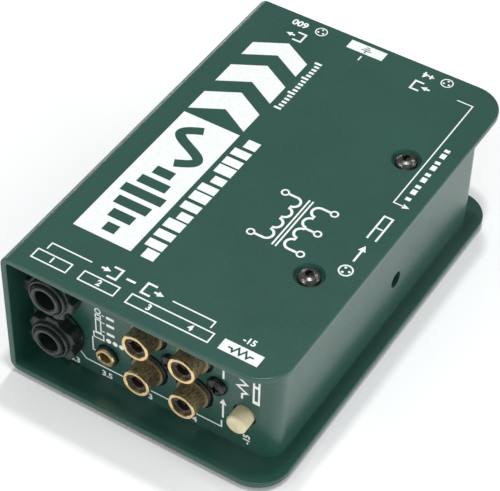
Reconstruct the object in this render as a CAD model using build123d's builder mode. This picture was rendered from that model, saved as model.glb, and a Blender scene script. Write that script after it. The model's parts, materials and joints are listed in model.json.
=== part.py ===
from build123d import *
import os

# Direct injection box: a folded steel cover around a folded steel chassis with the sockets and switches.
# Millimetres. +X is the open side of the cover, -Y the instrument end, +Y the XLR end, +Z up.
# The origin is the middle of the face that the no-slip pad stands on.

# ---- Case -----------------------------------------------------------------------------------------
WIDTH = 84.0  # cover, along X
DEPTH = 128.4  # cover, along Y
COVER_HEIGHT = 44.0
SHEET = 1.9  # 14 gauge steel
PAD_THICKNESS = 1.6
PAD_INSET = 2.5
PAD_EDGE = 0.5
PAD_HOLE = 4.95  # round the lower screws
COVER_BEND = 3.0  # outside radius of the cover's two folds
PLATE_CORNER = 10.0  # rounded free corners of the top and bottom plates
EDGE_BREAK = 0.35  # rounding of the cut sheet edges

COVER_FOOT = PAD_THICKNESS
COVER_TOP = COVER_FOOT + COVER_HEIGHT
FLOOR = COVER_FOOT + SHEET  # inner faces of the cover
CEILING = COVER_TOP - SHEET

FRONT_RECESS = 9.5  # how far the instrument end's panel stands back from the cover's edge
REAR_RECESS = 6.8  # and the XLR end's
FRONT_FACE = DEPTH / 2 - FRONT_RECESS  # outer face of each end panel, measured from the middle
REAR_FACE = DEPTH / 2 - REAR_RECESS
FRONT_INNER = FRONT_FACE - SHEET
SIDE_FACE = WIDTH / 2 - 4.5  # outer face of the chassis side
CHASSIS_LEFT = -WIDTH / 2 + SHEET + 0.1
CHASSIS_BEND = 5.0
CHASSIS_CORNER = 1.5  # clears the inside of the cover's folds
CHASSIS_GAP = 0.05  # between the end panels and the cover

# Dimples that sink the cover screws, and the angle strips under them.
DIMPLE_DEPTH = 1.3
DIMPLE_RIM = 4.35
DIMPLE_FLOOR = 3.6
DIMPLE_BOSS_TOP = 6.0
DIMPLE_BOSS_END = 5.2
SCREW_X = 29.0
SCREW_Y = 26.0
SCREW_SHANK = 1.75
SCREW_LENGTH = 6.35
SCREW_HEAD = 3.32
SCREW_HEAD_HEIGHT = 1.85
SCREW_TIP = 0.4  # chamfer at the end of the shank
HEX_FLATS = 2.2
HEX_DEPTH = 1.4
BRACKET_LEFT = 23.0
BRACKET_LEG = 7.5
BRACKET_HALF = 34.0
BRACKET_BEND = 2.6
CLINCH_HEIGHT = 2.5
CLINCH_RADIUS = 3.4

# Allowances.
SLIP = 0.15  # radial room where a moulded nose passes its panel
THREAD_FIT = 0.05  # radial room of a nut or a bracket round its thread
EMBED = 0.2  # overlap that joins a boss to the sheet it grows from
PANEL_CUT = (1, -SHEET - 1)  # from outside a panel to inside it, along its normal
PANEL_SCREW_HOLE = 1.6

# ---- Circuit board --------------------------------------------------------------------------------
BOARD_TOP = COVER_FOOT + 7.8
BOARD_THICKNESS = 1.6
BOARD_LEFT = -38.6
BOARD_RIGHT = 33.0
BOARD_HALF = 50.5
BOARD_CORNER = 1.0
NUT_CLEARANCE = 0.8  # between the board and the lower clinch nuts
LEAD_RADIUS = 0.4
LEAD_CLEARANCE = 0.12
LEAD_STUB = 0.5  # how far a lead runs up into the part it belongs to
LEAD_BELOW = 0.8  # how far the leads stand out under the board

# ---- Sockets on the instrument end ----------------------------------------------------------------
JACK_X = -30.6
JACK_Z = {"lower": COVER_FOOT + 14.3, "upper": COVER_FOOT + 30.8}
JACK_BORE = 3.2
JACK_THREAD = 4.75
JACK_NOSE = 4.6
JACK_REACH = 6.8  # how far the nose stands out of the panel
JACK_LEAD_IN = 0.4
JACK_WASHER = 7.5
WASHER_THICKNESS = 1.0
WASHER_EDGE = 0.3
NUT_LOBES = 6
NUT_ROUND = 6.7
NUT_TIP = 7.9
NUT_LOBE_BASE = 5.6  # half width of a lobe at the nut's axis, from where it narrows
NUT_LOBE_TIP = 1.6
NUT_FLANGE = 3.9
NUT_TOP = 1.0
NUT_TOP_RADIUS = 6.0
NUT_EDGE = 0.3
NUT_ANGLE = {"lower": 27.0, "upper": -5.0}  # where each nut's lobes came to rest

MINI_X = -15.4
MINI_Z = COVER_FOOT + 12.5
MINI_BORE = 1.8
MINI_BOSS = 3.35
MINI_RING = 3.05
MINI_SEAT = 2.45  # radius in the body that the ring's sleeve fills
MINI_SLEEVE_DEPTH = 4.6

PHONO_X = {"left": -1.85, "right": 12.45}
PHONO_Z = {"lower": COVER_FOOT + 15.4, "upper": COVER_FOOT + 29.6}
PHONO_SHELL = 4.15
PHONO_BORE = 3.15
PHONO_REACH = 6.6
PHONO_BOSS = 5.2
PHONO_HOLE = 5.85
PHONO_SEAT = 3.95  # radius in the block that the shell fills
PHONO_SHELL_DEPTH = 4.8
PHONO_SCREW_SIDE = 7.1  # screw to the right of each block's sockets
PHONO_SCREW_Z = COVER_FOOT + 22.4
PHONO_SCREW_SHANK = 1.25
PHONO_BOSS_REACH = 0.4
PHONO_CONTACT = 2.1
PHONO_CONTACT_DEPTH = 13.4

# ---- Switches -------------------------------------------------------------------------------------
SWITCH_Z = COVER_FOOT + 16.0
PAD_X = 27.9
LIFT_X = -2.8
SELECT_Y = 9.0
SELECT_HOLE = 2.5
BUTTON_RADIUS = 3.0
BUTTON_REACH = 4.7
BUTTON_HOLE = 3.5
PLUNGER_SIDE = 2.1
SWITCH_WIDTH = 8.4
SWITCH_LENGTH = 12.3
SWITCH_ABOVE = 3.6  # from the plunger's axis to the top of a switch body
PLUNGER_SLIP = 0.15

# ---- XLR sockets ----------------------------------------------------------------------------------
XLR_OUT_X = -24.0
XLR_IN_X = 18.5
XLR_Z = COVER_FOOT + 22.0
XLR_WIDTH = 25.0
XLR_HALF_HEIGHT = XLR_Z - BOARD_TOP
XLR_BODY_BACK = 34.0
XLR_BOSS = 10.9
XLR_BOSS_REACH = 1.0
XLR_PIN_RADIUS = 1.2
XLR_PINS = [(-3.8, 2.2), (3.8, 2.2), (0.0, -4.4)]
XLR_SCREW = (9.5, 12.0)
XLR_SCREW_SHANK = 1.2
LATCH_Z = XLR_Z + 12.4
LATCH_SLOT = (6.8, 2.8)
LATCH_STEM = (6.0, 2.0)
PIN_HOLE = 1.35  # in the face of the female insert

# ---- Transformer ----------------------------------------------------------------------------------
TRANSFORMER_X = -5.0
TRANSFORMER_Y = 1.0
CAN_WIDTH = 28.0
CAN_LENGTH = 30.0
CAN_HEIGHT = 22.8
CAN_WALL = 0.8

FRONT = Plane.XZ.offset(FRONT_FACE)  # local x is X, local y is Z, local z points out of the instrument end
REAR = Plane(origin=(0, REAR_FACE, 0), x_dir=(-1, 0, 0), z_dir=(0, 1, 0))  # local x is -X, z points out
SIDE = Plane(origin=(SIDE_FACE, 0, 0), x_dir=(0, 1, 0), z_dir=(1, 0, 0))  # local x is Y, z points out

board_leads = []  # (x, y) of every lead that passes through the board


# ---- Helpers --------------------------------------------------------------------------------------
def turn_on_plane(plane, at, outline, mode=Mode.ADD):
    """Revolves an outline of (radius, distance along the plane's normal) about that normal at a point."""
    axis_plane = Plane(plane.from_local_coords(Vector(*at, 0)), x_dir=plane.x_dir, z_dir=plane.z_dir)
    half_plane = Plane(axis_plane.origin, x_dir=plane.x_dir, z_dir=-axis_plane.y_dir)
    with BuildSketch(half_plane) as half:
        with BuildLine():
            Polyline(*outline, close=True)
        make_face()
    revolve(half.sketch, axis=Axis(axis_plane.origin, plane.z_dir), mode=mode)


def drill(plane, at, radius, start, end):
    """Removes a round hole between two distances along the plane's normal."""
    with BuildSketch(plane.offset(start)) as hole:
        with Locations(at):
            Circle(radius)
    extrude(hole.sketch, amount=end - start, mode=Mode.SUBTRACT)


def block(plane, centre, size, start, end, mode=Mode.ADD):
    """Adds or removes a box between two distances along the plane's normal."""
    with BuildSketch(plane.offset(start)) as face:
        with Locations(centre):
            Rectangle(*size)
    extrude(face.sketch, amount=end - start, mode=mode)


def spring_strip(plane, points, half_width, thickness=0.35):
    """Adds a bent strip of sheet: a line of (x, y) points on a plane, widened to both sides of it."""
    with BuildSketch(plane) as strip:
        with BuildLine():
            Polyline(*points)
            offset(amount=thickness, side=Side.LEFT)
        make_face()
    extrude(strip.sketch, amount=half_width, both=True)


def leads(points, top=BOARD_TOP):
    """Adds round leads through the board at (x, y) points and notes them for the board's holes."""
    bottom = BOARD_TOP - BOARD_THICKNESS - LEAD_BELOW
    with BuildSketch(Plane.XY.offset(bottom)) as dots:
        with Locations(*points):
            Circle(LEAD_RADIUS)
    extrude(dots.sketch, amount=top - bottom)
    board_leads.extend(points)


# ---- Case -----------------------------------------------------------------------------------------
def screw_places():
    return [(SCREW_X, -SCREW_Y), (SCREW_X, SCREW_Y)]


def make_cover():
    """One C-shaped sheet: top plate, left wall and bottom plate, with four screw dimples."""
    half = WIDTH / 2
    with BuildPart() as cover:
        with BuildSketch(Plane.XZ):
            with BuildLine():
                FilletPolyline(
                    (half, COVER_FOOT),
                    (-half, COVER_FOOT),
                    (-half, COVER_TOP),
                    (half, COVER_TOP),
                    radius=COVER_BEND,
                )
                offset(amount=SHEET, side=Side.RIGHT)
            make_face()
        extrude(amount=DEPTH / 2, both=True)
        fillet(cover.edges().filter_by(Axis.Z).group_by(Axis.X)[-1], PLATE_CORNER)
        rims = cover.faces().filter_by(GeomType.PLANE).filter_by(Axis.Y)
        fillet(rims.edges() + cover.faces().sort_by(Axis.X)[-2:].edges().filter_by(Axis.Y), EDGE_BREAK)
        dimples = [(Plane.XY.offset(COVER_TOP), 1), (Plane.XY.offset(COVER_FOOT), -1)]
        for plane, up in dimples:
            root = -up * (SHEET - EMBED)
            boss = [(0, root), (DIMPLE_BOSS_TOP, root), (DIMPLE_BOSS_TOP, -up * SHEET)]
            boss += [(DIMPLE_BOSS_END, -up * (SHEET + DIMPLE_DEPTH)), (0, -up * (SHEET + DIMPLE_DEPTH))]
            hollow = [(0, 0), (DIMPLE_RIM, 0), (DIMPLE_FLOOR, -up * DIMPLE_DEPTH), (0, -up * DIMPLE_DEPTH)]
            for at in screw_places():
                turn_on_plane(plane, at, boss)
                turn_on_plane(plane, at, hollow, Mode.SUBTRACT)
                drill(plane, at, SCREW_SHANK + SLIP, 0, -up * (SHEET + DIMPLE_DEPTH + EMBED))
    cover.part.label = "cover"
    export_step(cover.part, "parts/cover.step")


def make_chassis():
    """One folded sheet: both end panels and the side between them."""
    foot = FLOOR + CHASSIS_GAP
    head = CEILING - CHASSIS_GAP
    with BuildPart() as chassis:
        with BuildSketch(Plane.XY.offset(foot)):
            with BuildLine():
                FilletPolyline(
                    (CHASSIS_LEFT, -FRONT_FACE),
                    (SIDE_FACE, -FRONT_FACE),
                    (SIDE_FACE, REAR_FACE),
                    (CHASSIS_LEFT, REAR_FACE),
                    radius=CHASSIS_BEND,
                )
                offset(amount=SHEET, side=Side.LEFT)
            make_face()
        extrude(amount=head - foot)
        free_ends = chassis.faces().filter_by(Axis.X).sort_by(Axis.X)[:2]
        fillet(free_ends.edges().filter_by(Axis.Y), CHASSIS_CORNER)
        cut_front_panel()
        cut_rear_panel()
        drill(SIDE, (SELECT_Y, SWITCH_Z), SELECT_HOLE, *PANEL_CUT)
    chassis.part.label = "chassis"
    export_step(chassis.part, "parts/chassis.step")


def make_nut_brackets():
    """Two angle strips welded inside the chassis side, which carry the nuts for the cover screws."""
    wall = SIDE_FACE - SHEET
    with BuildPart() as brackets:
        for shelf, up in ((FLOOR + DIMPLE_DEPTH, 1), (CEILING - DIMPLE_DEPTH, -1)):
            with BuildSketch(Plane.XZ):
                with BuildLine():
                    FilletPolyline(
                        (BRACKET_LEFT, shelf),
                        (wall, shelf),
                        (wall, shelf + up * BRACKET_LEG),
                        radius=BRACKET_BEND,
                    )
                    offset(amount=SHEET, side=Side.LEFT if up > 0 else Side.RIGHT)
                make_face()
            extrude(amount=BRACKET_HALF, both=True)
        for at in screw_places():
            drill(Plane.XY, at, SCREW_SHANK + THREAD_FIT, FLOOR, CEILING)
    brackets.part.label = "nut_brackets"
    export_step(brackets.part, "parts/nut_brackets.step")


def cut_front_panel():
    """Cuts the instrument end's holes in the part being built."""
    for z in JACK_Z.values():
        drill(FRONT, (JACK_X, z), JACK_THREAD + SLIP, *PANEL_CUT)
    drill(FRONT, (MINI_X, MINI_Z), MINI_BOSS + SLIP, *PANEL_CUT)
    for x in PHONO_X.values():
        for z in PHONO_Z.values():
            drill(FRONT, (x, z), PHONO_HOLE, *PANEL_CUT)
        drill(FRONT, (x + PHONO_SCREW_SIDE, PHONO_SCREW_Z), PANEL_SCREW_HOLE, *PANEL_CUT)
    drill(FRONT, (PAD_X, SWITCH_Z), BUTTON_HOLE, *PANEL_CUT)


def cut_rear_panel():
    """Cuts the XLR end's holes in the part being built."""
    for x in (XLR_OUT_X, XLR_IN_X):
        drill(REAR, (-x, XLR_Z), XLR_BOSS + SLIP, *PANEL_CUT)
        for at in xlr_screw_places(x):
            drill(REAR, at, PANEL_SCREW_HOLE, *PANEL_CUT)
    block(REAR, (-XLR_IN_X, LATCH_Z), LATCH_SLOT, *PANEL_CUT, Mode.SUBTRACT)
    drill(REAR, (-LIFT_X, SWITCH_Z), BUTTON_HOLE, *PANEL_CUT)


def make_pad():
    """Rubber sheet under the whole bottom plate, with holes over the two lower screws."""
    with BuildPart() as pad:
        with BuildSketch(Plane.XY):
            RectangleRounded(WIDTH - 2 * PAD_INSET, DEPTH - 2 * PAD_INSET, PLATE_CORNER - PAD_INSET)
            with Locations(*screw_places()):
                Circle(PAD_HOLE, mode=Mode.SUBTRACT)
        extrude(amount=PAD_THICKNESS)
        fillet(pad.faces().sort_by(Axis.Z)[0].outer_wire().edges(), PAD_EDGE)
    pad.part.label = "no_slip_pad"
    export_step(pad.part, "parts/no_slip_pad.step")


def make_cover_screws():
    """Four button-head hex socket screws, two down through the top and two up through the bottom."""
    with BuildPart() as screws:
        for seat, up in ((COVER_TOP - DIMPLE_DEPTH, 1), (COVER_FOOT + DIMPLE_DEPTH, -1)):
            plane = Plane.XY.offset(seat)
            crown = up * SCREW_HEAD_HEIGHT
            rim = up * SCREW_HEAD_HEIGHT * 0.2
            dome = [(0.45, 1.0), (0.7, 0.81), (0.9, 0.51)]  # shares of the head's radius and height
            outline = [(0, crown), *[(SCREW_HEAD * share, crown * rise) for share, rise in dome]]
            outline += [(SCREW_HEAD, rim), (SCREW_HEAD, 0), (SCREW_SHANK, 0)]
            outline += [(SCREW_SHANK, -up * (SCREW_LENGTH - SCREW_TIP))]
            outline += [(SCREW_SHANK - SCREW_TIP, -up * SCREW_LENGTH), (0, -up * SCREW_LENGTH)]
            for at in screw_places():
                turn_on_plane(plane, at, outline)
                with BuildSketch(plane.offset(crown)) as socket:
                    with Locations(at):
                        RegularPolygon(HEX_FLATS / 2, 6, major_radius=False)
                extrude(socket.sketch, amount=-up * HEX_DEPTH, mode=Mode.SUBTRACT)
    screws.part.label = "cover_screws"
    export_step(screws.part, "parts/cover_screws.step")


def make_clinch_nuts():
    """Four clinch nuts on the inner faces of the brackets."""
    with BuildPart() as nuts:
        inner_head = CEILING - DIMPLE_DEPTH - SHEET
        inner_foot = FLOOR + DIMPLE_DEPTH + SHEET
        for start, up in ((inner_head, -1), (inner_foot, 1)):
            with BuildSketch(Plane.XY.offset(start)):
                with Locations(*screw_places()):
                    Circle(CLINCH_RADIUS)
                    Circle(SCREW_SHANK + THREAD_FIT, mode=Mode.SUBTRACT)
            extrude(amount=up * CLINCH_HEIGHT)
    nuts.part.label = "clinch_nuts"
    export_step(nuts.part, "parts/clinch_nuts.step")


# ---- Quarter-inch jacks ---------------------------------------------------------------------------
JACK_BODY_HALF = 7.8
JACK_BODY_BACK = 26.0  # depth of the body behind the panel's inner face
JACK_BODY_UP = 6.7  # from the socket's axis to the top of the body
JACK_BODY_DOWN = 6.9
JACK_WALL = 1.6
JACK_LEG = 5.4  # depth of the upper jack's leg
JACK_LEG_BACK = 6.0  # how much further back the upper body runs than the lower one
JACK_CAVITY = (9.6, 9.8)
SPRING_HALF = 1.6  # half the width of a contact spring
SPRING_OUT = 4.3  # distance of a contact spring from the plug's axis
SPRING_IN = 3.45  # distance of its bent nose, just clear of a plug


def make_jack(level):
    """Moulded jack body with its threaded nose. The upper one has a leg behind the lower one."""
    axis_z = JACK_Z[level]
    at = (JACK_X, axis_z)
    upper = level == "upper"
    low = axis_z - JACK_BODY_DOWN if upper else BOARD_TOP
    back = -SHEET - JACK_BODY_BACK - (JACK_LEG_BACK if upper else 0)
    with BuildPart() as body:
        size = (2 * JACK_BODY_HALF, axis_z + JACK_BODY_UP - low)
        block(FRONT, (JACK_X, low + size[1] / 2), size, -SHEET, back)
        fillet(body.edges().filter_by(Axis.Y), JACK_WALL / 2)
        if upper:
            joint = low + JACK_WALL / 2
            leg = (size[0], joint - BOARD_TOP)
            block(FRONT, (JACK_X, (BOARD_TOP + joint) / 2), leg, back + JACK_LEG, back)
        thread_end = JACK_REACH - 0.7
        rounding = 0.3
        nose = [(0, -SHEET), (JACK_THREAD, -SHEET), (JACK_THREAD, thread_end), (JACK_NOSE, thread_end)]
        nose += [(JACK_NOSE, JACK_REACH - rounding), (JACK_NOSE - rounding, JACK_REACH), (0, JACK_REACH)]
        turn_on_plane(FRONT, at, nose)
        cavity_start = -SHEET - JACK_WALL
        block(FRONT, at, JACK_CAVITY, cavity_start, -SHEET - JACK_BODY_BACK + JACK_WALL, Mode.SUBTRACT)
        drill(FRONT, at, JACK_BORE, JACK_REACH + 1, cavity_start - 0.5)
        mouth = JACK_REACH - JACK_LEAD_IN
        lead_in = [(0, JACK_REACH), (JACK_BORE + JACK_LEAD_IN, JACK_REACH), (JACK_BORE, mouth), (0, mouth)]
        turn_on_plane(FRONT, at, lead_in, Mode.SUBTRACT)
    body.part.label = f"jack_body_{level}"
    export_step(body.part, f"parts/jack_body_{level}.step")
    make_jack_contacts(level, at)
    make_jack_nut(level, at)
    make_jack_washer(level, at)


def make_jack_contacts(level, at):
    """Tip spring above the plug's path, ring spring below it and sleeve leaf at the side."""
    section = Plane.YZ.offset(JACK_X)  # local x is Y, local y is Z
    face = -FRONT_INNER
    z = at[1]
    deep = face + JACK_BODY_BACK - JACK_WALL - 0.1
    bend = [(0.0, SPRING_OUT), (2.0, SPRING_IN), (4.5, SPRING_OUT)]  # from a spring's free end
    with BuildPart() as contacts:
        tip = [(deep - 10.5 + along, z + out) for along, out in bend] + [(deep, z + SPRING_OUT)]
        ring = [(deep - 15.5 + along, z - out) for along, out in bend] + [(deep, z - SPRING_OUT)]
        leaf = [(JACK_X - out, face + 2.2 + along) for along, out in bend] + [(JACK_X - SPRING_OUT, deep)]
        spring_strip(section, list(reversed(tip)), SPRING_HALF)
        spring_strip(section, ring, SPRING_HALF)
        spring_strip(Plane.XY.offset(z), list(reversed(leaf)), SPRING_HALF)
    contacts.part.label = f"jack_contacts_{level}"
    export_step(contacts.part, f"parts/jack_contacts_{level}.step")


def make_jack_nut(level, at):
    """Moulded nut: a lobed flange and a raised round top."""
    start = WASHER_THICKNESS
    lobe_end = [(NUT_TIP, -NUT_LOBE_TIP), (NUT_TIP, NUT_LOBE_TIP)]
    with BuildPart() as nut:
        with BuildSketch(FRONT.offset(start)) as outline:
            with Locations(at):
                Circle(NUT_ROUND)
                with PolarLocations(0, NUT_LOBES, start_angle=NUT_ANGLE[level]):
                    Polygon((0, -NUT_LOBE_BASE), *lobe_end, (0, NUT_LOBE_BASE), align=None)
            fillet(outline.vertices(), NUT_EDGE)
        extrude(amount=NUT_FLANGE)
        chamfer(nut.faces().sort_by(Axis.Y)[0].edges(), NUT_EDGE)
        top = start + NUT_FLANGE + NUT_TOP
        root = start + NUT_FLANGE - EMBED
        crown = [(0, root), (NUT_TOP_RADIUS, root), (NUT_TOP_RADIUS, top - NUT_EDGE)]
        crown += [(NUT_TOP_RADIUS - NUT_EDGE, top), (0, top)]
        turn_on_plane(FRONT, at, crown)
        drill(FRONT, at, JACK_THREAD + THREAD_FIT, start - 1, top + 1)
        mouth = JACK_THREAD + 2 * NUT_EDGE
        funnel = [(0, top), (mouth, top), (JACK_THREAD, top - 2 * NUT_EDGE), (0, top - 2 * NUT_EDGE)]
        turn_on_plane(FRONT, at, funnel, Mode.SUBTRACT)
    nut.part.label = f"jack_nut_{level}"
    export_step(nut.part, f"parts/jack_nut_{level}.step")


def make_jack_washer(level, at):
    """Insulating washer between the nut and the panel."""
    rim = WASHER_THICKNESS - WASHER_EDGE
    with BuildPart() as washer:
        outline = [(0, 0), (JACK_WASHER, 0), (JACK_WASHER, rim)]
        outline += [(JACK_WASHER - WASHER_EDGE, WASHER_THICKNESS), (0, WASHER_THICKNESS)]
        turn_on_plane(FRONT, at, outline)
        drill(FRONT, at, JACK_THREAD + THREAD_FIT, -1, WASHER_THICKNESS + 1)
    washer.part.label = f"jack_washer_{level}"
    export_step(washer.part, f"parts/jack_washer_{level}.step")


# ---- 3.5 mm jack ----------------------------------------------------------------------------------
def make_mini_jack():
    """Small stereo jack: moulded body, bright ring and a set of contacts."""
    at = (MINI_X, MINI_Z)
    width, depth, wall = 10.8, 12.3, 1.2
    body_back = -SHEET - depth
    height = MINI_Z + width / 2 - BOARD_TOP
    boss_top, boss_edge = 1.2, 0.25
    cavity = width - 2 * wall - 1.4
    with BuildPart() as body:
        block(FRONT, (MINI_X, BOARD_TOP + height / 2), (width, height), -SHEET, body_back)
        fillet(body.edges().filter_by(Axis.Y), 0.5)
        boss = [(0, -SHEET), (MINI_BOSS, -SHEET), (MINI_BOSS, boss_top - boss_edge)]
        boss += [(MINI_BOSS - boss_edge, boss_top), (0, boss_top)]
        turn_on_plane(FRONT, at, boss)
        block(FRONT, at, (cavity, cavity), -MINI_SLEEVE_DEPTH - wall, body_back + wall, Mode.SUBTRACT)
        drill(FRONT, at, MINI_SEAT, boss_top + 1, -MINI_SLEEVE_DEPTH - 2 * wall)
        leads([(MINI_X + dx, -FRONT_INNER + dy) for dx, dy in ((-3.5, 10.5), (3.5, 10.5), (0.0, 3.0))])
    body.part.label = "mini_jack_body"
    export_step(body.part, "parts/mini_jack_body.step")

    with BuildPart() as ring:
        lip, edge = 1.8, 0.3
        sleeve = MINI_SEAT - 0.03
        outline = [(MINI_BORE + edge, lip), (MINI_RING - edge, lip), (MINI_RING, lip - edge)]
        outline += [(MINI_RING, boss_top), (sleeve, boss_top), (sleeve, -MINI_SLEEVE_DEPTH)]
        outline += [(MINI_BORE, -MINI_SLEEVE_DEPTH), (MINI_BORE, lip - edge)]
        turn_on_plane(FRONT, at, outline)
    ring.part.label = "mini_jack_ring"
    export_step(ring.part, "parts/mini_jack_ring.step")

    with BuildPart() as contacts:
        section = Plane.YZ.offset(MINI_X)
        free, rear = -FRONT_INNER + 4.5, -FRONT_INNER + 10.6
        high, low, nose = MINI_Z + 2.9, MINI_Z - 2.9, 0.7
        tip = [(free, high), (free + 1.1, high - nose), (free + 2.3, high), (rear, high)]
        ring_leaf = [(free + 1.0, low), (free + 2.1, low + nose), (free + 3.3, low), (rear, low)]
        spring_strip(section, list(reversed(tip)), SPRING_HALF / 2)
        spring_strip(section, ring_leaf, SPRING_HALF / 2)
    contacts.part.label = "mini_jack_contacts"
    export_step(contacts.part, "parts/mini_jack_contacts.step")


# ---- Phono sockets --------------------------------------------------------------------------------
def make_phono_block(side):
    """Moulded block that carries two phono sockets and takes one screw."""
    x = PHONO_X[side]
    left, right = x - 5.5, x + 8.7
    top = PHONO_Z["upper"] + 6.2
    depth = 12.8
    edge = 0.3
    with BuildPart() as body:
        size = (right - left, top - BOARD_TOP)
        block(FRONT, ((left + right) / 2, BOARD_TOP + size[1] / 2), size, -SHEET, -SHEET - depth)
        fillet(body.edges().filter_by(Axis.Y), 2 * edge)
        for z in PHONO_Z.values():
            boss = [(0, -SHEET), (PHONO_BOSS, -SHEET), (PHONO_BOSS, PHONO_BOSS_REACH - edge)]
            boss += [(PHONO_BOSS - edge, PHONO_BOSS_REACH), (0, PHONO_BOSS_REACH)]
            turn_on_plane(FRONT, (x, z), boss)
            drill(FRONT, (x, z), PHONO_SEAT, PHONO_BOSS_REACH + 1, -PHONO_SHELL_DEPTH)
            drill(FRONT, (x, z), PHONO_CONTACT + SLIP, 0, -PHONO_CONTACT_DEPTH)
        drill(FRONT, (x + PHONO_SCREW_SIDE, PHONO_SCREW_Z), PHONO_SCREW_SHANK + THREAD_FIT, 0, -SHEET - 9)
        leads([(x + dx, -FRONT_INNER + dy) for dx in (-3.5, 3.5) for dy in (3, 10)])
    body.part.label = f"phono_block_{side}"
    export_step(body.part, f"parts/phono_block_{side}.step")


def make_phono_socket(side, level):
    """Plated shell, insulator and centre contact of one phono socket."""
    at = (PHONO_X[side], PHONO_Z[level])
    reach = PHONO_REACH
    name = f"{side}_{level}"
    with BuildPart() as shell:
        edge = 0.2
        flange, flange_top = 4.95, 1.2
        sleeve = PHONO_SEAT - 0.05
        outline = [(PHONO_BORE, reach - edge), (PHONO_BORE + edge, reach), (PHONO_SHELL - edge, reach)]
        outline += [(PHONO_SHELL, reach - edge), (PHONO_SHELL, flange_top + edge / 2), (flange, flange_top)]
        outline += [(flange, PHONO_BOSS_REACH), (sleeve, PHONO_BOSS_REACH)]
        outline += [(sleeve, -PHONO_SHELL_DEPTH), (PHONO_BORE, -PHONO_SHELL_DEPTH)]
        turn_on_plane(FRONT, at, outline)
    shell.part.label = f"phono_shell_{name}"
    export_step(shell.part, f"parts/phono_shell_{name}.step")

    with BuildPart() as insulator:
        face, lip = reach - 0.9, 1.6
        mouth = 1.9
        outside, inside = PHONO_BORE - 0.02, PHONO_CONTACT + 0.05
        ring = [(mouth, face), (outside, face), (outside, -PHONO_SHELL_DEPTH), (inside, -PHONO_SHELL_DEPTH)]
        ring += [(inside, face - lip), (mouth, face - lip)]
        turn_on_plane(FRONT, at, ring)
        block(FRONT, at, (2 * mouth + 1.4, 0.5), face, face - 0.7, Mode.SUBTRACT)
    insulator.part.label = f"phono_insulator_{name}"
    export_step(insulator.part, f"parts/phono_insulator_{name}.step")

    with BuildPart() as contact:
        front, floor = reach - 2.6, -6.0
        back, bore = 0.4 - PHONO_CONTACT_DEPTH, 1.62
        outline = [(bore, front), (PHONO_CONTACT, front), (PHONO_CONTACT, back)]
        outline += [(0, back), (0, floor), (bore, floor)]
        turn_on_plane(FRONT, at, outline)
        block(FRONT, at, (0.5, 2 * PHONO_CONTACT + 1), front, front - 4.5, Mode.SUBTRACT)
    contact.part.label = f"phono_contact_{name}"
    export_step(contact.part, f"parts/phono_contact_{name}.step")


def pan_head_screw(plane, at, head, height, shank, length):
    """Adds a cross-recessed pan-head screw with its head on the plane."""
    dome = [(head * 0.55, height), (head * 0.88, height * 0.72), (head, height * 0.3)]
    outline = [(0, height), *dome, (head, 0), (shank, 0)]
    outline += [(shank, -length + shank / 2), (shank / 4, -length), (0, -length)]
    turn_on_plane(plane, at, outline)
    cross, slot = head * 0.9, head * 0.24
    for size in ((cross, slot), (slot, cross)):
        block(plane, at, size, height, height / 2, Mode.SUBTRACT)


def make_phono_screws():
    with BuildPart() as screws:
        for x in PHONO_X.values():
            at = (x + PHONO_SCREW_SIDE, PHONO_SCREW_Z)
            pan_head_screw(FRONT, at, head=3.0, height=1.8, shank=PHONO_SCREW_SHANK, length=SHEET + 7.5)
    screws.part.label = "phono_screws"
    export_step(screws.part, "parts/phono_screws.step")


# ---- Switches -------------------------------------------------------------------------------------
def make_switch_body(name, plane, across, front):
    """Tall push switch body on the board, with a square way for its plunger."""
    height = SWITCH_Z + SWITCH_ABOVE - BOARD_TOP
    with BuildPart() as body:
        block(plane, (across, BOARD_TOP + height / 2), (SWITCH_WIDTH, height), front, front - SWITCH_LENGTH)
        chamfer(body.edges().filter_by(Axis.Z), 0.4)
        way = PLUNGER_SIDE + 2 * PLUNGER_SLIP
        block(plane, (across, SWITCH_Z), (way, way), front + 1, front - 8.6, Mode.SUBTRACT)
        places = [(across + dx, front - dz) for dx in (-2.5, 2.5) for dz in (3.0, 6.2, 9.4)]
        spots = [plane.from_local_coords(Vector(u, SWITCH_Z, w)) for u, w in places]
        leads([(p.X, p.Y) for p in spots])
    body.part.label = f"{name}_switch_body"
    export_step(body.part, f"parts/{name}_switch_body.step")


def make_capped_switch(name, plane, across):
    """A latching push switch with a round cap that stands out of its panel."""
    make_switch_body(name, plane, across, front=-6.2)
    at = (across, SWITCH_Z)
    plunger_tip, skirt = 1.8, -3.0
    with BuildPart() as plunger:
        block(plane, at, (PLUNGER_SIDE, PLUNGER_SIDE), plunger_tip, -10.5)
        chamfer(plunger.faces().sort_by(Axis.Y)[0].edges(), 0.2)
    plunger.part.label = f"{name}_plunger"
    export_step(plunger.part, f"parts/{name}_plunger.step")

    with BuildPart() as cap:
        r, top = BUTTON_RADIUS, BUTTON_REACH
        dome = [(0, skirt), (r, skirt), (r, top - 0.7), (r - 0.2, top - 0.3), (r - 0.6, top - 0.05), (0, top)]
        turn_on_plane(plane, at, dome)
        block(plane, at, (PLUNGER_SIDE, PLUNGER_SIDE), plunger_tip, skirt - 1, Mode.SUBTRACT)
    cap.part.label = f"{name}_cap"
    export_step(cap.part, f"parts/{name}_cap.step")


def make_select_switch():
    """The recessed side switch: its round plunger head lies behind a small hole."""
    make_switch_body("select", SIDE, SELECT_Y, front=-8.6)
    at = (SELECT_Y, SWITCH_Z)
    with BuildPart() as plunger:
        head, face, neck, edge = 2.1, -3.6, -5.6, 0.2
        disc = [(0, face), (head - edge, face), (head, face - edge), (head, neck), (0, neck)]
        turn_on_plane(SIDE, at, disc)
        block(SIDE, at, (PLUNGER_SIDE, PLUNGER_SIDE), neck + edge, -13.0)
    plunger.part.label = "select_plunger"
    export_step(plunger.part, "parts/select_plunger.step")


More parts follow.
